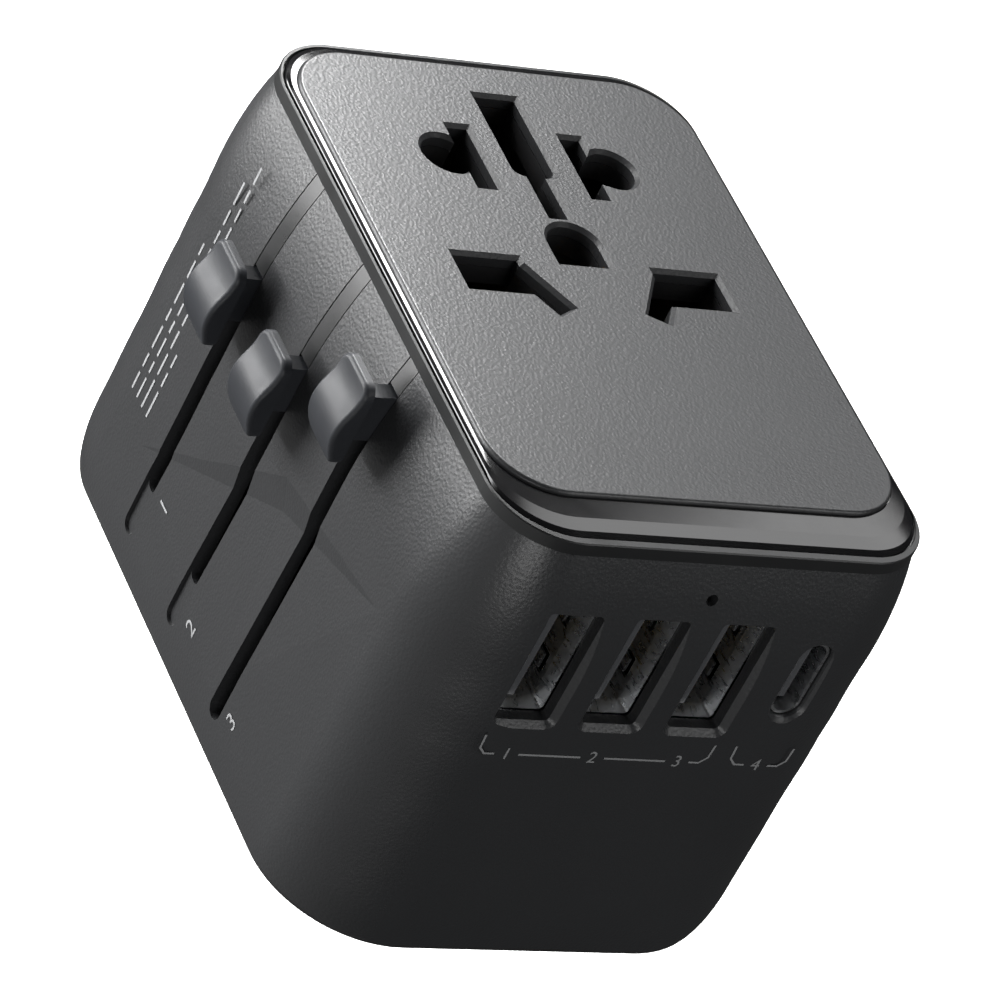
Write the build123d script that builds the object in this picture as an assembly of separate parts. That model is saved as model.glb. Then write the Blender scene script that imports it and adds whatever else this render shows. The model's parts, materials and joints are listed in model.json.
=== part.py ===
from build123d import *
import math
import os

# Universal travel adapter. Millimetres. The origin is the middle of the underside, +Z runs up to the
# socket face, -X is the side with the three slide knobs and -Y is the side with the USB ports.

# ---- casing -----------------------------------------------------------------------------------------
HALF_X = 25.0
HALF_Y = 36.6
CORNER_R = 11.0
TOP_Z = 51.0
PARTING_Z = 48.65
WALL = 1.8
# The walls lean in above LEAN_Z and the plan corners tighten as they do.
LEAN_Z = 35.0
LEAN_X = 1.7
LEAN_Y = 2.05
LEAN_R = 3.4
# Just above the underside they tuck in a little.
TUCK_Z = 5.0
TUCK = 0.3
TUCK_R = 0.9
BASE_FLANGE = 0.5
BASE_T = 2.6

# ---- top end ----------------------------------------------------------------------------------------
FRAME_TOP_Z = 50.05
FRAME_LIP = 0.2
FRAME_FRONT_LIP = 0.8
GROOVE = 0.2
BEZEL_BOTTOM_Z = 49.35
BEZEL_EDGE_Z = 49.95
BEZEL_INNER_Z = 50.5
PLATE_HALF_X = 22.2
PLATE_Y0 = -28.8
PLATE_Y1 = 32.4
PLATE_R = 7.0
PLATE_BOTTOM_Z = 49.6

# ---- socket pattern ---------------------------------------------------------------------------------
US_X = 6.35
US_SLOT = (3.06, 9.64)
US_SLOT_Y = 18.34
EU_X = 9.2
EU_R = 3.05
UK_SLOT = (7.9, 5.56)
UK_SLOT_X = 11.1
UK_SLOT_Y = 1.3
EARTH_HALF = 2.69
EARTH_Y = (16.05, 28.35)
EARTH_NECK = (1.46, 10.0)
GROUND_R = 3.2
GROUND_Y = 6.55
GROUND_FLAT_Y = 3.3
AU_WIDTH = 2.9
AU_LENGTH = 8.0
AU_TILT = 30.0
AU_CENTRE = (6.95, -0.2)
# The openings narrow by this much over the same depth, and keep that size below.
HOLE_BEVEL = 0.4

# ---- slide slots, knobs and carriages ---------------------------------------------------------------
SLOT_W = 2.25
SLOT_Y = {"us": 15.2, "uk": 2.55, "eu": -10.1}
SLOT_END_Z = 3.6
SLOT_STOP_Z = {"us": 9.1, "uk": 9.1, "eu": 3.6}
TONGUE_Z = {"us": 37.3, "uk": 37.4, "eu": 45.5}
GROOVE_DEPTH = 0.4
KNOB_Z = {"us": 34.3, "uk": 34.35, "eu": 42.9}
KNOB_W = 6.0
KNOB_LEN = 9.4
KNOB_GAP_X = -27.8
NECK_W = 1.95
NECK_LEN = 5.9
RISER_X0 = {"us": -22.9, "uk": -22.9, "eu": -21.6}
RISER_X1 = -18.6
BLOCK_Z = (24.6, 31.0)

# ---- pins -------------------------------------------------------------------------------------------
BLADE = (1.5, 6.35)
BLADE_TIP_Z = 3.8
PIVOT_R = 2.5
PIVOT_PLAY = 0.05
UK_PIN = (6.35, 4.0)
UK_TIP_Z = 4.1
UK_EARTH = (4.0, 8.0)
UK_EARTH_RISE = 22.2
UK_EARTH_TIP_Z = 0.4
EU_PIN_R = 2.4
EU_PIN_X = 9.5
EU_TIP_Z = 1.2
PLINTH = (33.0, 11.6)
EU_PIN_Y = -11.3
PLINTH_Z = (20.2, 36.6)
PIN_PLAY = 0.2

# ---- USB ports --------------------------------------------------------------------------------------
USB_A_X = (-13.77, -4.49, 4.79)
USB_A_Z = 36.2
USB_A_WINDOW = (5.75, 13.0)
USB_A_SHELL = (5.3, 12.7)
USB_A_MOUTH = (5.65, 12.9)
FLARE = 1.5
LIP = 0.08
USB_C_X = 13.55
USB_C_Z = 36.4
USB_C_WINDOW = (3.5, 9.3)
USB_C_SHELL = (3.2, 9.0)
SHEET = 0.3
USB_FRONT_Y = -34.6
USB_C_FRONT_Y = -35.75
BOARD_Y = (-20.4, -18.9)
LED_X = -0.44
LED_Z = 45.1
LED_R = 0.6
LIGHT_PIPE_Y = -33.2

# ---- screws -----------------------------------------------------------------------------------------
SCREWS = ((-17.0, -29.2), (17.0, -29.2), (-17.0, 29.2), (17.0, 29.2))
BOSS_R = 2.2
BOSS_TOP_Z = 20.0

LEVELS = (0.0, 1.2, 2.6, 5.0, 9.0, 15.0, 21.0, 27.0, 32.0, 35.0, 38.0, 41.0, 44.0, 46.5, PARTING_Z)


def box(x0, x1, y0, y1, z0, z1):
    """A block between two opposite corners."""
    size = Box(x1 - x0, y1 - y0, z1 - z0)
    return Pos((x0 + x1) / 2, (y0 + y1) / 2, (z0 + z1) / 2) * size


def post(x, y, z0, z1, radius):
    """An upright cylinder."""
    return Pos(x, y, (z0 + z1) / 2) * Cylinder(radius, z1 - z0)


def one(shape):
    """The single solid of a result."""
    solids = shape.solids()
    if len(solids) != 1:
        raise ValueError(f"expected one solid, got {len(solids)}")
    return solids[0]


def outline(z):
    """Half width, half depth and corner radius of the casing at height z."""
    up = max(0.0, (z - LEAN_Z) / (PARTING_Z - LEAN_Z))
    down = max(0.0, (TUCK_Z - z) / TUCK_Z)
    half_x = HALF_X - LEAN_X * up ** 2 - TUCK * down ** 2
    half_y = HALF_Y - LEAN_Y * up ** 2 - TUCK * down ** 2
    radius = CORNER_R - LEAN_R * up ** 1.3 + TUCK_R * down ** 2
    return half_x, half_y, radius


def casing(inset, levels):
    """The casing's outer form, or its hollow when inset is the wall."""
    sections = []
    for z in levels:
        half_x, half_y, radius = outline(z)
        face = RectangleRounded(2 * (half_x - inset), 2 * (half_y - inset), radius - inset)
        sections.append(Pos(0, 0, z) * face)
    return loft(sections)


def plan(half_x, y0, y1, radius, z0, z1):
    """An upright rounded block that is centred in X."""
    face = RectangleRounded(2 * half_x, y1 - y0, radius)
    return Pos(0, (y0 + y1) / 2, z0) * extrude(face, z1 - z0)


def side_slot(y, z0, z1, width, x0, x1):
    """A cutter along X with a rounded lower end, between heights z0 and z1."""
    radius = width / 2
    end = Pos((x0 + x1) / 2, y, z0 + radius) * Rot(0, 90, 0) * Cylinder(radius, x1 - x0)
    return box(x0, x1, y - radius, y + radius, z0 + radius, z1) + end


def front_window(x, z, size, radius, chamfer, y_face):
    """A cutter for a rounded opening in the front wall with a chamfered rim."""
    width, height = size
    plane = Plane(origin=(x, y_face, z), x_dir=(1, 0, 0), z_dir=(0, 1, 0))
    through = extrude(plane * RectangleRounded(width, height, radius), 5.0)
    rim = loft([
        plane.offset(-1.0) * RectangleRounded(width + 2 * chamfer + 2, height + 2 * chamfer + 2, radius + chamfer + 1),
        plane.offset(chamfer) * RectangleRounded(width, height, radius),
    ], ruled=True)
    return through + rim


def thumb_facet():
    """The shallow folded hollow across the slider side, deepest at its kink and fading at its ends."""
    rear = Vector(-HALF_X, 19.5, 11.0)
    front = Vector(-HALF_X, -24.5, 31.4)
    kink = Vector(-HALF_X, -3.4, 28.2)
    deep = Vector(-HALF_X + 0.55, -4.6, 25.0)
    foot = Vector(-HALF_X, -8.0, 5.0)
    outside = Vector(-HALF_X - 6.0, -4.0, 20.0)
    loop = (rear, kink, front, foot)
    faces = []
    for index, start in enumerate(loop):
        end = loop[(index + 1) % len(loop)]
        faces.append(Face(Wire.make_polygon([start, end, deep], close=True)))
        faces.append(Face(Wire.make_polygon([end, start, outside], close=True)))
    return Solid(Shell(faces))


def main_shell():
    """The textured casing tube with its slide slots, port windows and screw bosses."""
    levels = (BASE_FLANGE,) + LEVELS[1:]
    body = casing(0.0, levels) - casing(WALL, (0.0,) + LEVELS[1:-1] + (PARTING_Z,))
    for x, y in SCREWS:
        x0, x1 = sorted((x, math.copysign(HALF_X - WALL / 2, x)))
        web = box(x0, x1, y - 0.8, y + 0.8, BASE_T + 0.1, BOSS_TOP_Z) & casing(WALL / 2, LEVELS)
        boss = post(x, y, BASE_T + 0.1, BOSS_TOP_Z, BOSS_R) + web
        body += boss - post(x, y, 0, 14.0, 1.15)
    for name, y in SLOT_Y.items():
        body -= side_slot(y, SLOT_STOP_Z[name], PARTING_Z + 1, SLOT_W, -HALF_X - 1, -HALF_X + WALL + 3)
        if SLOT_STOP_Z[name] > SLOT_END_Z:
            body -= side_slot(y, SLOT_END_Z, SLOT_STOP_Z[name] + 2, SLOT_W, -HALF_X - 1, -HALF_X + GROOVE_DEPTH)
    body -= thumb_facet()
    for x in USB_A_X:
        body -= front_window(x, USB_A_Z, USB_A_WINDOW, 0.5, 0.5, -HALF_Y + 0.1)
    body -= front_window(USB_C_X, USB_C_Z, USB_C_WINDOW, 1.74, 0.3, -HALF_Y + 0.1)
    body -= Pos(LED_X, -HALF_Y, LED_Z) * Rot(90, 0, 0) * Cylinder(LED_R, 8)
    return one(body)


def top_frame():
    """The satin ring on the casing, with a tongue that fills the top of each slide slot."""
    half_x, half_y, radius = outline(PARTING_Z)
    ring = plan(half_x, -half_y, half_y, radius, PARTING_Z, FRAME_TOP_Z)
    ring = chamfer(ring.faces().sort_by(Axis.Z)[-1].edges(), 0.12)
    lip_y0 = -half_y + FRAME_FRONT_LIP
    ring -= plan(half_x - FRAME_LIP, lip_y0, half_y - 0.5, radius - 0.3, BEZEL_BOTTOM_Z, TOP_Z)
    ring -= plan(half_x - 2.6, -half_y + 5.0, half_y - 2.6, radius - 1.5, PARTING_Z - 1, TOP_Z)
    skin = casing(0.02, LEVELS) - casing(WALL + 0.1, LEVELS)
    for name, y in SLOT_Y.items():
        half = SLOT_W / 2 - 0.13
        strip = box(-HALF_X - 1, -HALF_X + WALL + 2.2, y - half, y + half, TONGUE_Z[name], PARTING_Z + 0.3)
        ring += strip & skin
        ring += box(-half_x + WALL, -half_x + 2.6, y - half, y + half, PARTING_Z - 0.6, PARTING_Z + 0.2)
    return one(ring)


def bezel_outline():
    """Half width, front Y, rear Y and corner radius of the gloss bezel."""
    half_x, half_y, radius = outline(PARTING_Z)
    return (half_x - FRAME_LIP - GROOVE, -half_y + FRAME_FRONT_LIP + GROOVE,
            half_y - 0.5 - GROOVE, radius - 0.5)


def gloss_bezel():
    """The polished ledge around the socket plate, wide at the front and rolling down to its rim."""
    half_x, y0, y1, radius = bezel_outline()
    rim = plan(half_x, y0, y1, radius, BEZEL_BOTTOM_Z, BEZEL_EDGE_Z)
    sections = []
    for share, height in ((0.0, 0.0), (0.12, 0.5), (0.45, 0.85), (1.0, 1.0)):
        sx = half_x + (PLATE_HALF_X - half_x) * share
        sy0 = y0 + (PLATE_Y0 - y0) * share
        sy1 = y1 + (PLATE_Y1 - y1) * share
        sr = radius + (PLATE_R - radius) * share
        z = BEZEL_EDGE_Z + (BEZEL_INNER_Z - BEZEL_EDGE_Z) * height
        sections.append(Pos(0, (sy0 + sy1) / 2, z) * RectangleRounded(2 * sx, sy1 - sy0, sr))
    ledge = rim + loft(sections, ruled=True)
    gap = 0.08
    recess = plan(PLATE_HALF_X - 0.02 + gap, PLATE_Y0 - gap, PLATE_Y1 + gap, PLATE_R, PLATE_BOTTOM_Z - 0.02, TOP_Z)
    return one(ledge - recess - plan(20.2, -26.5, 31.0, 5.5, 0, TOP_Z))


def socket_outline(inset):
    """Every hole of the universal socket as one flat shape, shrunk by inset."""
    holes = []
    for side in (-1, 1):
        holes.append(Pos(side * US_X, US_SLOT_Y) * Rectangle(US_SLOT[0] - 2 * inset, US_SLOT[1] - 2 * inset))
        holes.append(Pos(side * EU_X, US_SLOT_Y + 0.1) * Circle(EU_R - inset))
        holes.append(Pos(side * UK_SLOT_X, UK_SLOT_Y) * Rectangle(UK_SLOT[0] - 2 * inset, UK_SLOT[1] - 2 * inset))
        slanted = Rectangle(AU_WIDTH - 2 * inset, AU_LENGTH - 2 * inset)
        holes.append(Pos(side * AU_CENTRE[0], AU_CENTRE[1]) * Rot(0, 0, -side * AU_TILT) * slanted)
    earth_height = EARTH_Y[1] - EARTH_Y[0] - 2 * inset
    earth = Rectangle(2 * (EARTH_HALF - inset), earth_height)
    earth = fillet(earth.vertices().group_by(Axis.Y)[0], EARTH_HALF - EARTH_NECK[0] - 0.05)
    holes.append(Pos(0, (EARTH_Y[0] + EARTH_Y[1]) / 2) * earth)
    neck_y0 = EARTH_NECK[1] + inset
    neck = Pos(0, (neck_y0 + EARTH_Y[0] + 1) / 2) * Rectangle(2 * (EARTH_NECK[0] - inset), EARTH_Y[0] + 1 - neck_y0)
    holes.append(neck)
    ground = Circle(GROUND_R - inset) + Pos(0, (GROUND_FLAT_Y - GROUND_Y) / 2) * Rectangle(
        2 * (GROUND_R - inset), GROUND_Y - GROUND_FLAT_Y - 2 * inset)
    holes.append(Pos(0, GROUND_Y) * (ground & Pos(0, 10 + GROUND_FLAT_Y - GROUND_Y + inset) * Rectangle(20, 20)))
    return holes


def cut_holes(solid, inset, z0, z1):
    """Cuts the socket pattern through a solid."""
    for hole in socket_outline(inset):
        solid -= Pos(0, 0, z0) * extrude(hole, z1 - z0)
    return solid


def socket_plate():
    """The raised textured plate that carries the socket openings."""
    plate = plan(PLATE_HALF_X, PLATE_Y0, PLATE_Y1, PLATE_R, PLATE_BOTTOM_Z, TOP_Z)
    plate = fillet(plate.faces().sort_by(Axis.Z)[-1].edges(), 0.35)
    plate = cut_holes(plate, HOLE_BEVEL, PLATE_BOTTOM_Z - 1, TOP_Z + 1)
    over = 0.1
    for wide, narrow in zip(socket_outline(-over), socket_outline(HOLE_BEVEL)):
        mouth = Pos(0, 0, TOP_Z + over) * wide.faces()[0]
        throat = Pos(0, 0, TOP_Z - HOLE_BEVEL) * narrow.faces()[0]
        plate -= loft([mouth, throat], ruled=True)
    return one(plate)


SOCKET_Z0 = 33.2
SOCKET_Z1 = 49.55
CHAMBER_Z = (34.4, 47.6)
LEAF_TOP_Z = 41.0


def socket_body():
    """The insulating block under the plate, with a chamber for each contact."""
    block = plan(17.6, -5.2, 30.0, 1.5, SOCKET_Z0, SOCKET_Z1)
    block = cut_holes(block, HOLE_BEVEL, CHAMBER_Z[1] - 1, SOCKET_Z1 + 1)
    for side in (-1, 1):
        x0, x1 = sorted((side * 3.9, side * 16.6))
        block -= box(x0, x1, -4.3, 24.0, *CHAMBER_Z)
    block -= box(-3.3, 3.3, 2.6, 29.0, *CHAMBER_Z)
    return one(block)


def pole_contact(side):
    """A pressed brass contact with spring leaves for the blade, round pin and rectangular pin."""
    z0 = CHAMBER_Z[0]
    x0, x1 = sorted((side * 4.2, side * 16.2))
    contact = box(x0, x1, -2.0, 23.6, z0, z0 + 0.6)
    for x, y0, y1 in ((4.3, 13.6, 23.2), (16.1, -1.4, 4.0), (12.6, 16.6, 20.2)):
        a, b = sorted((side * x, side * (x + 0.4 if x < 8 else x - 0.4)))
        contact += box(a, b, y0, y1, z0 + 0.3, LEAF_TOP_Z)
    return one(contact)


def earth_contact():
    """The earth contact that reaches both the rectangular and the round earth openings."""
    z0 = CHAMBER_Z[0]
    contact = box(-3.0, 3.0, 3.2, 28.8, z0, z0 + 0.6)
    for side in (-1, 1):
        a, b = sorted((side * 3.1, side * 2.8))
        contact += box(a, b, 17.9, 28.0, z0 + 0.3, LEAF_TOP_Z)
    contact += box(-2.4, 2.4, 2.8, 3.2, z0, LEAF_TOP_Z) + box(-2.4, 2.4, 3.1, 3.3, z0, z0 + 0.6)
    return one(contact)


def base_plate():
    """The screwed-on underside with the openings that the pins slide out of."""
    half_x, half_y, radius = outline(0.0)
    plate = plan(half_x - 0.05, -half_y + 0.05, half_y - 0.05, radius, 0.0, BASE_FLANGE)
    half_x, half_y, radius = outline(BASE_T)
    step = WALL + 0.35
    plate += plan(half_x - step, -half_y + step, half_y - step, radius - step + 0.8, BASE_FLANGE - 0.1, BASE_T)
    for side in (-1, 1):
        plate -= post(side * US_X, SLOT_Y["us"], -1, BASE_T + 1, BLADE[1] / 2 + 0.45)
        hole = RectangleRounded(UK_PIN[0] + 2 * PIN_PLAY, UK_PIN[1] + 2 * PIN_PLAY, 0.5)
        plate -= Pos(side * UK_SLOT_X, SLOT_Y["uk"], -1) * extrude(hole, BASE_T + 2)
    hole = RectangleRounded(UK_EARTH[0] + 2 * PIN_PLAY, UK_EARTH[1] + 2 * PIN_PLAY, 0.5)
    plate -= Pos(0, SLOT_Y["uk"] + UK_EARTH_RISE, -1) * extrude(hole, BASE_T + 2)
    hole = RectangleRounded(PLINTH[0] + 2 * PIN_PLAY, PLINTH[1] + 2 * PIN_PLAY, PLINTH[1] / 2 - 0.5)
    plate -= Pos(0, EU_PIN_Y, -1) * extrude(hole, BASE_T + 2)
    for x, y in SCREWS:
        plate -= post(x, y, -1, BASE_T + 1, 1.35) + post(x, y, -1, 1.45, 2.35)
    return one(plate)


def case_screws():
    """Four identical pan-head screws with cross recesses, seated in the base plate."""
    screws = []
    for x, y in SCREWS:
        head = post(x, y, 0.25, 1.4, 2.2)
        recess = box(x - 1.2, x + 1.2, y - 0.2, y + 0.2, 0, 0.8) + box(x - 0.2, x + 0.2, y - 1.2, y + 1.2, 0, 0.8)
        screws.append(one(head + post(x, y, 1.3, 12.5, 1.1) - recess))
    return screws


def neck(name):
    """The flat stem between a knob and its carriage, rounded top and bottom."""
    z = TONGUE_Z[name] - 0.15 - NECK_LEN / 2
    radius = NECK_W / 2
    root_x = RISER_X0[name]
    middle = (KNOB_GAP_X + root_x) / 2
    low = z - NECK_LEN / 2 + radius
    stem = box(KNOB_GAP_X - 0.4, root_x, -radius, radius, low, z + NECK_LEN / 2 - 0.1)
    end = Pos(middle, 0, low) * Rot(0, 90, 0) * Cylinder(radius, root_x - KNOB_GAP_X)
    return Pos(0, SLOT_Y[name], 0) * (stem + end)


def knob(name):
    """A thumb knob: a crowned paddle that stands off the side on its stem."""
    z = KNOB_Z[name]
    y = SLOT_Y[name]
    half = KNOB_LEN / 2
    over = 0.4
    crown = ((-half - over, 0.55), (-half + 0.3, 1.0), (-3.0, 1.75), (-1.1, 2.2), (0.8, 1.9),
             (2.1, 1.4), (3.2, 1.15), (half + over, 1.1))
    side_y = y - KNOB_W / 2 - 1
    points = [Vector(KNOB_GAP_X - height, side_y, z + along) for along, height in crown]
    back_low = Vector(KNOB_GAP_X, side_y, z - half - over)
    back_high = Vector(KNOB_GAP_X, side_y, z + half + over)
    edges = [Edge.make_spline(points), Edge.make_line(points[-1], back_high)]
    edges += [Edge.make_line(back_high, back_low), Edge.make_line(back_low, points[0])]
    paddle = extrude(Face(Wire(edges)), KNOB_W + 2, dir=(0, 1, 0))
    outside = Plane(origin=(KNOB_GAP_X - 4, y, z), x_dir=(0, 1, 0), z_dir=(1, 0, 0))
    paddle &= extrude(outside * RectangleRounded(KNOB_W, KNOB_LEN, 1.3), 5)
    crowned = [face for face in paddle.faces() if face.geom_type == GeomType.EXTRUSION]
    largest = max(crowned, key=lambda face: face.area)
    return one(fillet(largest.edges(), 0.45) + neck(name))


def riser(name, z0):
    """The upright part of a carriage that holds the knob's stem."""
    y = SLOT_Y[name]
    return box(RISER_X0[name], RISER_X1, y - 2.2, y + 2.2, z0, TONGUE_Z[name] - 0.1)


def us_carriage():
    """The block that carries the two flat blades on their pivots."""
    y = SLOT_Y["us"]
    block = box(RISER_X0["us"], 10.8, y - 4.4, y + 4.4, *BLOCK_Z)
    for side in (-1, 1):
        block -= post(side * US_X, y, 0, 60, PIVOT_R + PIVOT_PLAY)
    return one(block + riser("us", BLOCK_Z[0]))


def us_blade(side):
    """A flat blade with its round pivot: it turns on its own axis to become a slanted pin."""
    x = side * US_X
    y = SLOT_Y["us"]
    half_t = BLADE[0] / 2
    half_w = BLADE[1] / 2
    blade = box(x - half_t, x + half_t, y - half_w, y + half_w, BLADE_TIP_Z, BLOCK_Z[0] - 0.1)
    blade = chamfer(blade.faces().sort_by(Axis.Z)[0].edges(), 0.5)
    blade -= Pos(x, y, BLADE_TIP_Z + 5.5) * Rot(0, 90, 0) * Cylinder(1.55, 4)
    pivot = post(x, y, BLOCK_Z[0] - 0.2, BLOCK_Z[1] + 0.1, PIVOT_R) + post(x, y, BLOCK_Z[1] + 0.1, BLOCK_Z[1] + 0.8, 3.2)
    return one(blade + pivot)


def uk_carriage():
    """The hook-shaped carriage of the three rectangular pins, which passes round the blade carriage."""
    y = SLOT_Y["uk"]
    earth_y = y + UK_EARTH_RISE
    block = box(RISER_X0["uk"], 18.4, y - 3.4, y + 3.4, *BLOCK_Z)
    block += box(12.4, 18.4, y, earth_y + 1.4, *BLOCK_Z)
    block += box(-2.6, 18.4, earth_y - 3.0, earth_y + 1.4, *BLOCK_Z)
    for side in (-1, 1):
        block -= box(side * UK_SLOT_X - 2.4, side * UK_SLOT_X + 2.4, y - 1.3, y + 1.3, 0, 28.0)
    block -= box(-1.4, 1.4, earth_y - 2.1, earth_y + 0.5, 0, 28.0)
    return one(block + riser("uk", BLOCK_Z[0]))


def tapered_tip(width, depth, z0, z1, bevel):
    """A rectangular pin with a bevelled lower end."""
    pin = box(-width / 2, width / 2, -depth / 2, depth / 2, z0, z1)
    return chamfer(pin.faces().sort_by(Axis.Z)[0].edges(), bevel)


SLEEVE_Z0 = 15.2
SLEEVE_T = 0.45


def uk_pole_pins():
    """The live and neutral rectangular pins, waisted where their sleeves sit."""
    pins = []
    for side in (-1, 1):
        pin = tapered_tip(UK_PIN[0], UK_PIN[1], UK_TIP_Z, BLOCK_Z[0], 0.8)
        waist = box(-9, 9, -9, 9, SLEEVE_Z0, BLOCK_Z[0] + 1)
        core_x = UK_PIN[0] / 2 - SLEEVE_T
        core_y = UK_PIN[1] / 2 - SLEEVE_T
        pin -= waist - box(-core_x, core_x, -core_y, core_y, SLEEVE_Z0 - 1, 40)
        pin += box(-2.3, 2.3, -1.2, 1.2, BLOCK_Z[0] - 0.5, 27.9)
        pins.append(one(Pos(side * UK_SLOT_X, SLOT_Y["uk"], 0) * pin))
    return pins


def uk_pin_sleeves():
    """The insulating sleeves round the roots of the live and neutral pins."""
    sleeves = []
    for side in (-1, 1):
        outer = tapered_tip(UK_PIN[0], UK_PIN[1], SLEEVE_Z0, BLOCK_Z[0], 0.02)
        core_x = UK_PIN[0] / 2 - SLEEVE_T
        core_y = UK_PIN[1] / 2 - SLEEVE_T
        outer -= box(-core_x, core_x, -core_y, core_y, 0, 40)
        sleeves.append(one(Pos(side * UK_SLOT_X, SLOT_Y["uk"], 0) * outer))
    return sleeves


def uk_earth_pin():
    """The longer earth pin, which also opens shutters in the wall socket."""
    pin = tapered_tip(UK_EARTH[0], UK_EARTH[1], UK_EARTH_TIP_Z, BLOCK_Z[0], 0.8)
    pin += box(-1.3, 1.3, -2.0, 0.4, BLOCK_Z[0] - 0.5, 27.9)
    return one(Pos(0, SLOT_Y["uk"] + UK_EARTH_RISE, 0) * pin)


def eu_carriage():
    """The tall plinth that carries the round pins into a recessed wall socket."""
    y = EU_PIN_Y
    half_y = PLINTH[1] / 2
    face = RectangleRounded(PLINTH[0], PLINTH[1], half_y - 0.7)
    plinth = Pos(0, y, PLINTH_Z[0]) * extrude(face, PLINTH_Z[1] - PLINTH_Z[0] + 0.2)
    plinth += box(RISER_X0["eu"], 18.8, y - half_y, y + half_y, PLINTH_Z[1], PLINTH_Z[1] + 3.0)
    for side in (-1, 1):
        plinth -= post(side * EU_PIN_X, y, 0, 30.0, 1.5)
    return one(plinth + riser("eu", PLINTH_Z[1]))


def eu_pin(side):
    """A round pin with a domed tip and a thinner root in the plinth."""
    x = side * EU_PIN_X
    y = EU_PIN_Y
    pin = post(x, y, EU_TIP_Z, PLINTH_Z[0], EU_PIN_R)
    pin = fillet(pin.faces().sort_by(Axis.Z)[0].edges(), 1.6)
    return one(pin + post(x, y, PLINTH_Z[0] - 0.5, 29.8, 1.45))


def usb_a_shell(x):
    """The folded steel shell of a USB-A socket, flared at its mouth, with two spring tabs."""
    width, height = USB_A_SHELL
    front = Plane(origin=(x, USB_FRONT_Y, USB_A_Z), x_dir=(1, 0, 0), z_dir=(0, 1, 0))
    depth = BOARD_Y[0] - USB_FRONT_Y
    mouth_w, mouth_h = USB_A_MOUTH
    tube = front.offset(FLARE) * RectangleRounded(width, height, 0.5)
    shell = loft([front * RectangleRounded(mouth_w, mouth_h, 0.5), tube], ruled=True)
    shell += extrude(tube, depth - FLARE)
    bore = front.offset(FLARE) * RectangleRounded(width - 2 * SHEET, height - 2 * SHEET, 0.3)
    shell -= loft([front.offset(-0.01) * RectangleRounded(mouth_w - 2 * LIP, mouth_h - 2 * LIP, 0.4), bore], ruled=True)
    shell -= extrude(bore, depth - FLARE - SHEET)
    face = x + width / 2 - SHEET
    y0 = USB_FRONT_Y
    for z in (USB_A_Z - 2.9, USB_A_Z + 2.9):
        window = box(face - 1, face + 2, y0 + 2.2, y0 + 7.2, z - 1.2, z + 1.2)
        tab = box(face - 0.25, face + 0.05, y0 + 2.7, y0 + 7.4, z - 0.8, z + 0.8)
        shell = shell - window + tab
    return one(shell)


def usb_a_tongue(x):
    """The insulating tongue of a USB-A socket with its rear block."""
    inner_x = USB_A_SHELL[0] / 2 - SHEET
    inner_z = USB_A_SHELL[1] / 2 - SHEET
    rear = box(x - inner_x, x + inner_x, -25.6, BOARD_Y[0] - SHEET, USB_A_Z - inner_z, USB_A_Z + inner_z)
    rear = fillet(rear.edges().filter_by(Axis.Y), 0.32)
    blade = box(x - inner_x + 0.45, x - inner_x + 2.25, USB_FRONT_Y + 0.9, -25.5, USB_A_Z - 5.6, USB_A_Z + 5.6)
    return one(rear + fillet(blade.edges().filter_by(Axis.Z), 0.25))


def usb_a_contacts(x):
    """Four contact strips on the open side of a USB-A tongue."""
    face = x - (USB_A_SHELL[0] / 2 - SHEET) + 2.25
    strips = []
    for z in (-3.5, -1.0, 1.0, 3.5):
        strips.append(box(face, face + 0.25, USB_FRONT_Y + 2.0, -25.6, USB_A_Z + z - 0.5, USB_A_Z + z + 0.5))
    return strips


def usb_c_shell():
    """The drawn steel shell of the USB-C socket."""
    width, height = USB_C_SHELL
    plane = Plane(origin=(USB_C_X, USB_C_FRONT_Y, USB_C_Z), x_dir=(1, 0, 0), z_dir=(0, 1, 0))
    depth = BOARD_Y[0] - USB_C_FRONT_Y
    shell = extrude(plane * RectangleRounded(width, height, width / 2 - 0.02), depth)
    inner = RectangleRounded(width - 2 * SHEET, height - 2 * SHEET, width / 2 - SHEET - 0.02)
    return one(shell - extrude(plane.offset(-0.1) * inner, depth - 0.3))


def usb_c_tongue():
    """The thin central tongue of the USB-C socket with its rear block."""
    plane = Plane(origin=(USB_C_X, -29.5, USB_C_Z), x_dir=(1, 0, 0), z_dir=(0, 1, 0))
    width, height = USB_C_SHELL
    block = RectangleRounded(width - 2 * SHEET - 0.02, height - 2 * SHEET - 0.02, width / 2 - SHEET - 0.04)
    rear = extrude(plane * block, BOARD_Y[0] - SHEET + 29.4)
    blade = box(USB_C_X - 0.35, USB_C_X + 0.35, USB_C_FRONT_Y + 1.0, -29.4, USB_C_Z - 3.3, USB_C_Z + 3.3)
    return one(rear + blade)


def charger_board():
    """The upright circuit board behind the ports."""
    return one(box(-21.6, 21.6, *BOARD_Y, 5.0, 46.4))


def transformer():
    """The charger's transformer: a wound bobbin through a ferrite core."""
    core = box(-14.0, 0.0, -31.5, -23.0, 9.0, 25.0) - box(-11.7, -2.3, -34, -19, 11.6, 22.4)
    core += box(-8.8, -5.2, -31.5, -23.0, 11.0, 23.0)
    return one(core)


def transformer_winding():
    """The taped winding around the middle leg of the core."""
    outer = box(-11.4, -2.6, -33.6, BOARD_Y[0] - 0.5, 11.8, 22.2)
    outer = fillet(outer.edges().filter_by(Axis.Z), 1.5)
    return one(outer - box(-8.85, -5.15, -31.55, -22.95, 10, 24))


def capacitors():
    """Three electrolytic capacitors that lie against the board."""
    cans = []
    for x, z, radius, length in ((4.8, 12.4, 4.0, 12.0), (13.2, 12.4, 4.0, 5.8), (5.0, 22.6, 3.1, 9.5)):
        can = Pos(x, BOARD_Y[0] - length / 2, z) * Rot(90, 0, 0) * Cylinder(radius, length)
        cans.append(one(fillet(can.edges(), 0.5)))
    return cans


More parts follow.
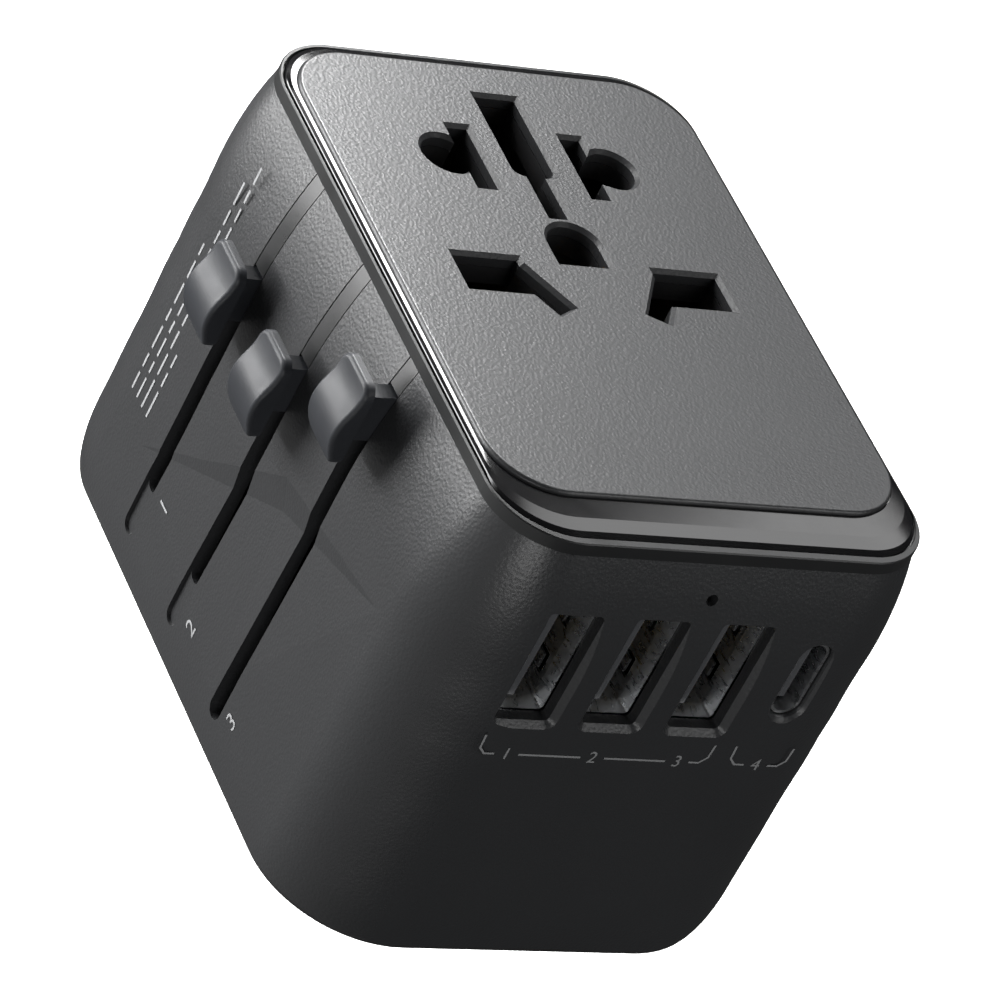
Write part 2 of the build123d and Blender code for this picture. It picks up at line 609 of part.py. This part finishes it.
def board_chips():
    """Controller and rectifier packages on the board."""
    places = ((12.0, 22.5, 3.0, 2.4), (17.6, 22.8, 1.8, 2.4), (-18.2, 16.0, 1.9, 3.0), (-18.2, 24.0, 1.5, 1.9))
    return [one(box(x - a, x + a, BOARD_Y[0] - 1.4, BOARD_Y[0], z - b, z + b)) for x, z, a, b in places]


def board_divider():
    """The insulating wall between the charger and the slides."""
    return one(box(-22.6, 22.6, -18.6, -17.7, BASE_T + 0.1, 42.0))


def light_pipe():
    """The clear rod from the board's indicator to its pinhole."""
    length = BOARD_Y[0] - LIGHT_PIPE_Y
    return one(Pos(LED_X, BOARD_Y[0] - length / 2, LED_Z) * Rot(90, 0, 0) * Cylinder(LED_R - 0.05, length))


FUSE_X = -10.6
FUSE_Y = 27.4


def fuse_tube():
    """The ceramic tube of the replaceable fuse."""
    return one(post(FUSE_X, FUSE_Y, 11.5, 28.5, 2.4) - post(FUSE_X, FUSE_Y, 10, 30, 1.8))


def fuse_caps():
    """The two plated end caps of the fuse."""
    low = post(FUSE_X, FUSE_Y, 8.5, 13.0, 2.75) - post(FUSE_X, FUSE_Y, 11.5, 14, 2.4)
    high = post(FUSE_X, FUSE_Y, 27.0, 31.5, 2.75) - post(FUSE_X, FUSE_Y, 26, 28.5, 2.4)
    return [one(low), one(high)]


def fuse_clips():
    """The two spring clips that hold the fuse by its caps."""
    clips = []
    for z in (9.5, 28.0):
        clip = box(FUSE_X - 3.2, FUSE_X + 3.2, FUSE_Y - 3.2, FUSE_Y + 4.6, z, z + 2.6)
        clip -= post(FUSE_X, FUSE_Y, z - 1, z + 4, 2.76)
        clip -= box(FUSE_X - 1.6, FUSE_X + 1.6, FUSE_Y - 4, FUSE_Y, z - 1, z + 4)
        clips.append(one(clip))
    return clips


def fuse_holder():
    """The upright plastic strip that carries the fuse clips."""
    return one(box(FUSE_X - 4.0, FUSE_X + 4.0, FUSE_Y + 4.6, FUSE_Y + 6.2, BASE_T + 0.1, 40.0))


def live_bar():
    """The live bus bar beside the fuse, up to the socket contact's level."""
    return one(box(-22.6, -21.9, 21.5, 26.5, 5.0, 38.0))


def neutral_bar():
    """The neutral bus bar on the side away from the knobs."""
    return one(box(21.6, 22.3, 4.0, 14.0, 5.0, 38.0))


def earth_bar():
    """The earth bus bar behind the earth pin."""
    return one(box(-3.0, 3.0, 30.9, 31.6, 5.0, 38.0))


def save(name, solids):
    """Writes one node's STEP file."""
    if isinstance(solids, list):
        shape = Compound(children=solids)
    else:
        shape = solids
    shape.label = name
    export_step(shape, f"parts/{name}.step")


def main():
    os.makedirs("parts", exist_ok=True)
    save("main_shell", main_shell())
    save("top_frame", top_frame())
    save("gloss_bezel", gloss_bezel())
    save("socket_plate", socket_plate())
    save("socket_body", socket_body())
    save("live_contact", pole_contact(-1))
    save("neutral_contact", pole_contact(1))
    save("earth_contact", earth_contact())
    save("base_plate", base_plate())
    save("case_screws", case_screws())
    save("us_carriage", us_carriage())
    save("us_blade_left", us_blade(-1))
    save("us_blade_right", us_blade(1))
    save("uk_carriage", uk_carriage())
    save("uk_pole_pins", uk_pole_pins())
    save("uk_pin_sleeves", uk_pin_sleeves())
    save("uk_earth_pin", uk_earth_pin())
    save("eu_carriage", eu_carriage())
    save("eu_pin_left", eu_pin(-1))
    save("eu_pin_right", eu_pin(1))
    for name in SLOT_Y:
        save(f"{name}_knob", knob(name))
    for number, x in enumerate(USB_A_X, start=1):
        save(f"usb_a_shell_{number}", usb_a_shell(x))
        save(f"usb_a_tongue_{number}", usb_a_tongue(x))
        save(f"usb_a_contacts_{number}", usb_a_contacts(x))
    save("usb_c_shell", usb_c_shell())
    save("usb_c_tongue", usb_c_tongue())
    save("charger_board", charger_board())
    save("transformer_core", transformer())
    save("transformer_winding", transformer_winding())
    save("capacitors", capacitors())
    save("board_chips", board_chips())
    save("board_divider", board_divider())
    save("light_pipe", light_pipe())
    save("fuse_tube", fuse_tube())
    save("fuse_caps", fuse_caps())
    save("fuse_clips", fuse_clips())
    save("fuse_holder", fuse_holder())
    save("live_bar", live_bar())
    save("neutral_bar", neutral_bar())
    save("earth_bar", earth_bar())


main()
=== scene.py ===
import json
import math
import random

import bmesh
import bpy
from mathutils import Matrix, Quaternion, Vector


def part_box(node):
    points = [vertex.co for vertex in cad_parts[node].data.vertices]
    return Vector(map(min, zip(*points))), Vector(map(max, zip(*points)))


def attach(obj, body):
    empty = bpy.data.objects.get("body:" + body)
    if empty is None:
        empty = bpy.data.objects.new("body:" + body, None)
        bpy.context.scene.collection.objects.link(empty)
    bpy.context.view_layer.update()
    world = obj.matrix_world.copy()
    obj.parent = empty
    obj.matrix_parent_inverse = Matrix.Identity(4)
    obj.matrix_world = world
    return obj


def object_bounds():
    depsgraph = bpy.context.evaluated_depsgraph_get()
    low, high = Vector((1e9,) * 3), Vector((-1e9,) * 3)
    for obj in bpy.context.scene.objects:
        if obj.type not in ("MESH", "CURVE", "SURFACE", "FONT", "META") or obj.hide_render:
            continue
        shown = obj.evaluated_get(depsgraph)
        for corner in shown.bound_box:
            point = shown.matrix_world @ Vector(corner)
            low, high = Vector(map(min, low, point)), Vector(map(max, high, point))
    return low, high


MM = 0.001
# Most of a noise texture's values lie between these two.
NOISE_LOW, NOISE_HIGH = 0.3, 0.7

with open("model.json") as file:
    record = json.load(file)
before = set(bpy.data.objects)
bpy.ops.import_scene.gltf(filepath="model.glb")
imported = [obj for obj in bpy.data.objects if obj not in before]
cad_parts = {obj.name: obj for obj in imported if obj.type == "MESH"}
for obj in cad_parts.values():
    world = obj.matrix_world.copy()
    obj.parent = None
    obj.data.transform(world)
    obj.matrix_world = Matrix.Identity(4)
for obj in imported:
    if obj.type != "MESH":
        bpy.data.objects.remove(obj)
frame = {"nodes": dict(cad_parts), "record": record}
cad_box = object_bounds()


# ---- node helpers -----------------------------------------------------------------------------------

def new_tree(name):
    """An empty material and its node tree."""
    material = bpy.data.materials.new(name)
    material.use_nodes = True
    material.node_tree.nodes.clear()
    return material, material.node_tree


def add(tree, kind, inputs=None, **settings):
    """A node with its settings and its unlinked inputs filled in."""
    node = tree.nodes.new(kind)
    for key, value in settings.items():
        setattr(node, key, value)
    for key, value in (inputs or {}).items():
        node.inputs[key].default_value = value
    return node


def link(tree, source, output, target, socket):
    """Joins an output to an input by name or number."""
    tree.links.new(source.outputs[output], target.inputs[socket])


def noise(tree, coords, scale, detail=2.0, roughness=0.5):
    """Noise in the object's own coordinates, in features per metre."""
    node = add(tree, "ShaderNodeTexNoise", {"Scale": scale, "Detail": detail, "Roughness": roughness})
    link(tree, coords, "Object", node, "Vector")
    return node


def remap(tree, source, output, low, high):
    """Maps a noise texture's usual spread onto a wanted range."""
    node = add(tree, "ShaderNodeMapRange",
               {"From Min": NOISE_LOW, "From Max": NOISE_HIGH, "To Min": low, "To Max": high})
    link(tree, source, output, node, "Value")
    return node


def shader(tree, specular=0.5, metallic=0.0, coat=0.0):
    """A Principled shader joined to the output, with its constants on its own sockets."""
    surface = add(tree, "ShaderNodeBsdfPrincipled",
                  {"Specular IOR Level": specular, "Metallic": metallic, "Coat Weight": coat})
    out = add(tree, "ShaderNodeOutputMaterial")
    link(tree, surface, "BSDF", out, "Surface")
    return surface


def tint(tree, surface, source, dark, light):
    """Colour that drifts between two close tones."""
    mix = add(tree, "ShaderNodeMix", data_type="RGBA")
    mix.inputs[6].default_value = (*dark, 1)
    mix.inputs[7].default_value = (*light, 1)
    link(tree, source, 0, mix, 0)
    link(tree, mix, 2, surface, "Base Color")


def bump(tree, surface, height, depth):
    """Relief of a given depth in metres."""
    node = add(tree, "ShaderNodeBump", {"Distance": depth, "Strength": 1.0})
    link(tree, height, 0, node, "Height")
    link(tree, node, "Normal", surface, "Normal")


# ---- materials --------------------------------------------------------------------------------------

# Texture scales are in features per metre.
GRAIN_SCALE = 3000.0
GRAIN_WARP = 0.12 * MM
SHEEN_SPREAD = 0.05


def grained_plastic(name, dark, light, roughness, depth):
    """Moulded plastic with a fine leather-like grain: small pillows between thin valleys."""
    material, tree = new_tree(name)
    surface = shader(tree)
    coords = add(tree, "ShaderNodeTexCoord")
    warp = noise(tree, coords, GRAIN_SCALE)
    shift = add(tree, "ShaderNodeVectorMath", operation="MULTIPLY_ADD")
    shift.inputs[1].default_value = (GRAIN_WARP, GRAIN_WARP, GRAIN_WARP)
    link(tree, warp, "Color", shift, 0)
    link(tree, coords, "Object", shift, 2)
    cells = add(tree, "ShaderNodeTexVoronoi", {"Scale": GRAIN_SCALE, "Smoothness": 0.6}, feature="SMOOTH_F1")
    link(tree, shift, 0, cells, "Vector")
    fine = noise(tree, coords, GRAIN_SCALE * 2.3, 3.0, 0.6)
    height = add(tree, "ShaderNodeMath", {1: 0.45}, operation="MULTIPLY_ADD")
    link(tree, fine, 0, height, 0)
    link(tree, cells, "Distance", height, 2)
    bump(tree, surface, height, depth)
    drift = noise(tree, coords, 70.0, 3.0)
    tint(tree, surface, drift, dark, light)
    sheen = remap(tree, fine, 0, roughness - SHEEN_SPREAD, roughness + SHEEN_SPREAD)
    link(tree, sheen, 0, surface, "Roughness")
    return material


def smooth_plastic(name, dark, light, roughness, depth=0.002 * MM, specular=0.5):
    """Smooth moulded plastic with a faint orange-peel and handling marks in its sheen."""
    material, tree = new_tree(name)
    surface = shader(tree, specular)
    coords = add(tree, "ShaderNodeTexCoord")
    peel = noise(tree, coords, 900.0, 3.0)
    bump(tree, surface, peel, depth)
    drift = noise(tree, coords, 120.0, 4.0, 0.6)
    tint(tree, surface, drift, dark, light)
    sheen = remap(tree, drift, 0, roughness * 0.85, roughness * 1.2)
    link(tree, sheen, 0, surface, "Roughness")
    return material


def plated_metal(name, dark, light, roughness, brush=(1.0, 1.0, 1.0), depth=0.002 * MM):
    """Plated or drawn metal with fine streaks along the axis that brush leaves small."""
    material, tree = new_tree(name)
    surface = shader(tree, metallic=1.0)
    coords = add(tree, "ShaderNodeTexCoord")
    stretch = add(tree, "ShaderNodeVectorMath", operation="MULTIPLY")
    stretch.inputs[1].default_value = brush
    link(tree, coords, "Object", stretch, 0)
    streaks = add(tree, "ShaderNodeTexNoise", {"Scale": 2500.0, "Detail": 3.0})
    link(tree, stretch, 0, streaks, "Vector")
    cloud = noise(tree, coords, 260.0, 3.0)
    bump(tree, surface, streaks, depth)
    tint(tree, surface, cloud, dark, light)
    sheen = remap(tree, streaks, 0, roughness * 0.75, roughness * 1.3)
    link(tree, sheen, 0, surface, "Roughness")
    return material


def circuit_board():
    """Green solder mask over faint copper tracks."""
    material, tree = new_tree("board_mask")
    surface = shader(tree, coat=0.3)
    coords = add(tree, "ShaderNodeTexCoord")
    tracks = add(tree, "ShaderNodeTexBrick", {"Scale": 260.0, "Mortar Size": 0.06})
    link(tree, coords, "Object", tracks, "Vector")
    tint(tree, surface, tracks, (0.012, 0.075, 0.03), (0.02, 0.12, 0.045))
    weave = noise(tree, coords, 1800.0)
    bump(tree, surface, weave, 0.004 * MM)
    sheen = remap(tree, weave, 0, 0.25, 0.4)
    link(tree, sheen, 0, surface, "Roughness")
    return material


def clear_plastic():
    """The clear rod of the indicator, slightly frosted."""
    material, tree = new_tree("clear_rod")
    surface = shader(tree)
    surface.inputs["Transmission Weight"].default_value = 0.85
    surface.inputs["IOR"].default_value = 1.49
    coords = add(tree, "ShaderNodeTexCoord")
    frost = noise(tree, coords, 1500.0)
    tint(tree, surface, frost, (0.75, 0.79, 0.82), (0.85, 0.88, 0.9))
    bump(tree, surface, frost, 0.003 * MM)
    sheen = remap(tree, frost, 0, 0.15, 0.3)
    link(tree, sheen, 0, surface, "Roughness")
    return material


CHARCOAL = (0.021, 0.0217, 0.023)
CHARCOAL_LIGHT = (0.027, 0.0278, 0.0295)
ALONG_Y = (1.0, 0.1, 1.0)
ALONG_Z = (1.0, 1.0, 0.06)

# For each material slot of the record: its darker tone, its lighter tone, its roughness and its relief.
MATERIALS = {
    "shell_plastic": grained_plastic(
        "shell_grain", CHARCOAL, CHARCOAL_LIGHT, 0.39, 0.022 * MM),
    "base_plastic": grained_plastic(
        "base_grain", (0.014, 0.0145, 0.015), (0.02, 0.0205, 0.0215), 0.5, 0.04 * MM),
    "frame_plastic": smooth_plastic(
        "frame_satin", (0.014, 0.0145, 0.015), (0.019, 0.0195, 0.02), 0.32),
    "bezel_plastic": smooth_plastic(
        "bezel_gloss", (0.003, 0.003, 0.0035), (0.005, 0.005, 0.0055), 0.14, 0.0005 * MM),
    "knob_plastic": smooth_plastic(
        "knob_satin", (0.022, 0.024, 0.028), (0.028, 0.03, 0.035), 0.48, specular=0.35),
    "carriage_plastic": smooth_plastic(
        "carriage_moulding", (0.008, 0.008, 0.009), (0.013, 0.013, 0.014), 0.5),
    "insulator_plastic": smooth_plastic(
        "insulator_moulding", (0.01, 0.01, 0.011), (0.015, 0.015, 0.016), 0.5),
    "pin_sleeve": smooth_plastic(
        "sleeve_black", (0.008, 0.008, 0.008), (0.012, 0.012, 0.012), 0.3),
    "pin_metal": plated_metal(
        "pin_nickel", (0.66, 0.64, 0.6), (0.78, 0.76, 0.72), 0.2, ALONG_Z),
    "contact_brass": plated_metal(
        "contact_brass_sheet", (0.62, 0.43, 0.18), (0.74, 0.54, 0.25), 0.28, ALONG_Y),
    "port_steel": plated_metal(
        "port_nickel", (0.76, 0.77, 0.78), (0.86, 0.87, 0.88), 0.3, (1.0, 0.3, 1.0), 0.0004 * MM),
    "port_tongue": smooth_plastic(
        "tongue_moulding", (0.05, 0.052, 0.056), (0.07, 0.072, 0.076), 0.38),
    "port_contact": plated_metal(
        "port_gold", (0.8, 0.58, 0.24), (0.88, 0.68, 0.32), 0.22, ALONG_Y),
    "screw_steel": plated_metal(
        "screw_zinc", (0.32, 0.33, 0.35), (0.45, 0.46, 0.48), 0.35),
    "board_laminate": circuit_board(),
    "ferrite": smooth_plastic(
        "ferrite_sinter", (0.02, 0.02, 0.021), (0.035, 0.035, 0.037), 0.55, 0.01 * MM),
    "winding_tape": smooth_plastic(
        "tape_yellow", (0.5, 0.34, 0.05), (0.6, 0.42, 0.08), 0.3, 0.01 * MM),
    "capacitor_sleeve": smooth_plastic(
        "sleeve_blue", (0.01, 0.015, 0.05), (0.016, 0.022, 0.07), 0.3),
    "chip_epoxy": smooth_plastic(
        "chip_black", (0.01, 0.01, 0.01), (0.016, 0.016, 0.016), 0.6, 0.006 * MM),
    "clear_rod": clear_plastic(),
    "ceramic": smooth_plastic(
        "ceramic_glaze", (0.68, 0.66, 0.6), (0.76, 0.74, 0.68), 0.25),
}

for part in frame["record"]["subparts"]:
    node = frame["nodes"][part["node"]]
    for material_slot in node.material_slots:
        material_slot.material = MATERIALS[part["material_slot"]]


# ---- printed marks ----------------------------------------------------------------------------------
# Plain numerals and lines only. Each is a very thin film just off the wall.

INK_T = 0.012 * MM
INK_LIFT = 0.012 * MM

ink = smooth_plastic("print_grey", (0.3, 0.304, 0.31), (0.36, 0.365, 0.37), 0.5)
dim_ink = smooth_plastic("print_dim", (0.2, 0.203, 0.206), (0.24, 0.243, 0.247), 0.5)

shell_low, shell_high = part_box("main_shell")
SIDE = Matrix(((0, 0, -1, shell_low.x - INK_LIFT), (0, 1, 0, 0), (1, 0, 0, 0), (0, 0, 0, 1)))
FRONT = Matrix(((1, 0, 0, 0), (0, 0, -1, shell_low.y - INK_LIFT), (0, 1, 0, 0), (0, 0, 0, 1)))


def finish_piece(name, mesh, material):
    """Puts a mesh in the scene on the casing."""
    mesh.materials.clear()
    mesh.materials.append(material)
    piece = bpy.data.objects.new(name, mesh)
    bpy.context.scene.collection.objects.link(piece)
    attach(piece, "casing")
    return piece


def numeral(name, text, place, u, v, size, material):
    """A printed numeral whose middle is at (u, v) millimetres on a wall."""
    curve = bpy.data.curves.new(name, "FONT")
    curve.body = text
    curve.size = size * MM
    curve.extrude = INK_T / 2
    curve.align_x = "CENTER"
    curve.align_y = "CENTER"
    maker = bpy.data.objects.new(name + "_maker", curve)
    bpy.context.scene.collection.objects.link(maker)
    bpy.context.view_layer.update()
    mesh = bpy.data.meshes.new_from_object(maker.evaluated_get(bpy.context.evaluated_depsgraph_get()))
    bpy.data.objects.remove(maker)
    mesh.transform(place @ Matrix.Translation((u * MM, v * MM, 0)))
    return finish_piece(name, mesh, material)


def line(name, points, place, width, material):
    """A printed line through points given in millimetres on a wall, mitred at its corners."""
    flat = [Vector(p) * MM for p in points]
    rows = []
    for index, here in enumerate(flat):
        before = (here - flat[max(index - 1, 0)]).normalized()
        after = (flat[min(index + 1, len(flat) - 1)] - here).normalized()
        along = (before + after).normalized()
        across = Vector((-along.y, along.x)) * width * MM / 2
        rows.append((here + across, here - across))
    shape = bmesh.new()
    layers = []
    for z in (-INK_T / 2, INK_T / 2):
        layers.append([[shape.verts.new((p.x, p.y, z)) for p in row] for row in rows])
    low, high = layers
    for index in range(len(rows) - 1):
        a, b = low[index], low[index + 1]
        c, d = high[index], high[index + 1]
        shape.faces.new((c[0], c[1], d[1], d[0]))
        shape.faces.new((a[1], a[0], b[0], b[1]))
        shape.faces.new((a[0], c[0], d[0], b[0]))
        shape.faces.new((c[1], a[1], b[1], d[1]))
    for a, c in ((low[0], high[0]), (low[-1], high[-1])):
        shape.faces.new((a[0], a[1], c[1], c[0]))
    bmesh.ops.recalc_face_normals(shape, faces=shape.faces)
    bmesh.ops.transform(shape, matrix=place, verts=shape.verts)
    mesh = bpy.data.meshes.new(name)
    shape.to_mesh(mesh)
    shape.free()
    return finish_piece(name, mesh, material)


# Beside the lower end of each slide slot: the numeral's place up the wall and across it.
SLOT_MARKS = (("1", 10.3, 11.4), ("2", 6.4, -1.1), ("3", 6.0, -13.3))
SLOT_MARK_SIZE = 2.6
for mark_text, up, across in SLOT_MARKS:
    numeral(f"slot_mark_{mark_text}", mark_text, SIDE, up, across, SLOT_MARK_SIZE, ink)

# Rows of plain dashes near the rear edge of the slider side, run up the wall: each row's place across
# the wall and its length.
ROWS = ((24.9, 20.5), (23.5, 28.0), (22.1, 31.0), (20.7, 8.0))
ROW_START = 13.6
DASH_LENGTHS = (1.3, 3.6)
DASH_SHORTEST = 1.2
DASH_GAP = 0.75
DASH_WIDTH = 0.28
dashes = random.Random(7)
for row, (across, length) in enumerate(ROWS, start=1):
    up, number = ROW_START, 1
    while up < ROW_START + length - DASH_SHORTEST:
        run = min(dashes.uniform(*DASH_LENGTHS), ROW_START + length - up)
        line(f"row_{row}_dash_{number}", [(up, across), (up + run, across)], SIDE, DASH_WIDTH, ink)
        up += run + DASH_GAP
        number += 1

# Under the ports: an open bracket for each group with a numeral under each port.
PORT_MARK_SIZE = 2.0
BRACKET_Z = 25.9
BRACKET_LINE = 0.22
NUMERAL_GAP = 1.3
BRACKET_OVER = 2.3
# The turn at a bracket's end, outwards and upwards from the end of its level line.
BRACKET_TURN = ((0.1, 0.0), (0.8, 0.7), (0.9, 2.3))


def bracket(name, x0, x1, gaps):
    """Lines that run under a group of ports and turn up at its ends, broken round the numerals."""
    edges = [x0] + [x for gap in gaps for x in gap] + [x1]
    runs = list(zip(edges[0::2], edges[1::2]))
    for number, (start, end) in enumerate(runs, start=1):
        points = [(start, BRACKET_Z), (end, BRACKET_Z)]
        if number == 1:
            turn = [(start - out, BRACKET_Z + rise) for out, rise in reversed(BRACKET_TURN)]
            points = turn + points[1:]
        if number == len(runs):
            turn = [(end + out, BRACKET_Z + rise) for out, rise in BRACKET_TURN]
            points = points[:-1] + turn
        line(f"{name}_{number}", points, FRONT, BRACKET_LINE, dim_ink)


PORTS = [(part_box(f"usb_a_shell_{n}"), str(n)) for n in (1, 2, 3)] + [(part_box("usb_c_shell"), "4")]
port_x = [(low.x + high.x) / 2 / MM for (low, high), _ in PORTS]
for x, (_, text) in zip(port_x, PORTS):
    numeral(f"port_mark_{text}", text, FRONT, x, BRACKET_Z, PORT_MARK_SIZE, dim_ink)
for group, members in (("a", port_x[:3]), ("c", port_x[3:])):
    gaps = [(x - NUMERAL_GAP, x + NUMERAL_GAP) for x in members]
    bracket(f"port_bracket_{group}", members[0] - BRACKET_OVER, members[-1] + BRACKET_OVER, gaps)


# ---- camera -----------------------------------------------------------------------------------------

TARGET = Vector((-6.8, -10.1, 33.1)) * MM
DISTANCE = 608.6 * MM
AZIMUTH = math.radians(39.75)
ELEVATION = math.radians(34.01)
ROLL = math.radians(28.89)
LENS = 235.4
SENSOR = 36.0

level = Vector((-math.sin(AZIMUTH), -math.cos(AZIMUTH), 0))
towards = level * math.cos(ELEVATION) + Vector((0, 0, math.sin(ELEVATION)))
camera_data = bpy.data.cameras.new("camera")
camera_data.lens = LENS
camera_data.sensor_width = SENSOR
camera_data.clip_start = 0.01
camera_data.clip_end = 20.0
camera = bpy.data.objects.new("camera", camera_data)
camera.rotation_mode = "QUATERNION"
camera.location = TARGET + towards * DISTANCE
camera.rotation_quaternion = (-towards).to_track_quat("-Z", "Y") @ Quaternion((0, 0, 1), ROLL)
bpy.context.scene.collection.objects.link(camera)
bpy.context.scene.camera = camera


# ---- stage and light --------------------------------------------------------------------------------

FLOOR_DROP = 42.0 * MM
FLOOR_WHITE = 0.92
FLOOR_GLOW = 0.75
# The floor's profile, radius and height in metres: flat, then curving up into a backdrop.
FLOOR_PROFILE = ((1.6, 0.0), (2.2, 0.1), (2.7, 0.45), (3.0, 1.1), (3.1, 3.0))
FLOOR_SIDES = 96


def floor_mesh():
    """The floor's profile turned about the vertical axis."""
    shape = bmesh.new()
    centre = shape.verts.new((0, 0, 0))
    angles = [2 * math.pi * i / FLOOR_SIDES for i in range(FLOOR_SIDES)]
    inner = None
    for radius, height in FLOOR_PROFILE:
        ring = [shape.verts.new((radius * math.cos(a), radius * math.sin(a), height)) for a in angles]
        for i in range(FLOOR_SIDES):
            after = (i + 1) % FLOOR_SIDES
            if inner is None:
                shape.faces.new((centre, ring[i], ring[after]))
            else:
                shape.faces.new((inner[i], ring[i], ring[after], inner[after]))
        inner = ring
    mesh = bpy.data.meshes.new("floor")
    shape.to_mesh(mesh)
    shape.free()
    mesh.shade_smooth()
    return mesh


def make_floor():
    """A plain pale floor with a round backdrop, low enough for every pin set to come out above it."""
    material, tree = new_tree("floor_paper")
    surface = shader(tree, 0.2)
    surface.inputs["Base Color"].default_value = (FLOOR_WHITE, FLOOR_WHITE, FLOOR_WHITE, 1)
    surface.inputs["Roughness"].default_value = 0.9
    surface.inputs["Emission Color"].default_value = (1, 1, 1, 1)
    surface.inputs["Emission Strength"].default_value = FLOOR_GLOW
    mesh = floor_mesh()
    mesh.materials.append(material)
    floor = bpy.data.objects.new("floor", mesh)
    floor.location = (0, 0, cad_box[0].z - FLOOR_DROP)
    # Out of reflections and bounced light, so that the dark faces stay dark.
    floor.visible_glossy = False
    floor.visible_diffuse = False
    bpy.context.scene.collection.objects.link(floor)


def softbox(name, place, aim, width, height, power):
    """A rectangular soft light aimed at a point, in metres and watts."""
    data = bpy.data.lights.new(name, "AREA")
    data.shape = "RECTANGLE"
    data.size = width
    data.size_y = height
    data.energy = power
    lamp = bpy.data.objects.new(name, data)
    lamp.location = place
    lamp.rotation_mode = "QUATERNION"
    lamp.rotation_quaternion = (Vector(aim) - Vector(place)).to_track_quat("-Z", "Y")
    bpy.context.scene.collection.objects.link(lamp)


WORLD_BRIGHT_WAY = Vector((-0.85, 0.1, -0.5)).normalized()
WORLD_DIM = 0.04
WORLD_BRIGHT = 0.4


def studio_world():
    """Dim surroundings that brighten low on the slider side."""
    world = bpy.data.worlds.new("studio")
    world.use_nodes = True
    tree = world.node_tree
    tree.nodes.clear()
    coords = add(tree, "ShaderNodeTexCoord")
    facing = add(tree, "ShaderNodeVectorMath", operation="DOT_PRODUCT")
    facing.inputs[1].default_value = WORLD_BRIGHT_WAY
    link(tree, coords, "Generated", facing, 0)
    glow = add(tree, "ShaderNodeMapRange",
               {"From Min": 0.2, "From Max": 1.0, "To Min": WORLD_DIM, "To Max": WORLD_BRIGHT},
               interpolation_type="SMOOTHSTEP")
    link(tree, facing, "Value", glow, "Value")
    back = add(tree, "ShaderNodeBackground", {"Color": (1, 1, 1, 1)})
    link(tree, glow, 0, back, "Strength")
    out = add(tree, "ShaderNodeOutputWorld")
    link(tree, back, 0, out, 0)
    bpy.context.scene.world = world


make_floor()
studio_world()
softbox("key", (0.05, 0.235, 0.245), (0, 0, 0.05), 0.12, 0.12, 1.9)
softbox("key_right", (0.22, 0.1, 0.34), (0.02, 0.0, 0.05), 0.2, 0.24, 0.5)
softbox("side", (-0.3, 0.28, 0.15), (-0.025, 0, 0.03), 0.3, 0.28, 3.0)
softbox("rim", (-0.17, 0.14, 0.02), (-0.025, 0, 0.045), 0.16, 0.035, 0.3)
softbox("fill", (0.28, -0.42, 0.24), (0, -0.03, 0.03), 0.3, 0.3, 0.9)
softbox("ports", (-0.2, -0.34, 0.02), (0, -0.035, 0.036), 0.16, 0.12, 0.4)
bpy.context.scene.view_settings.view_transform = "Standard"
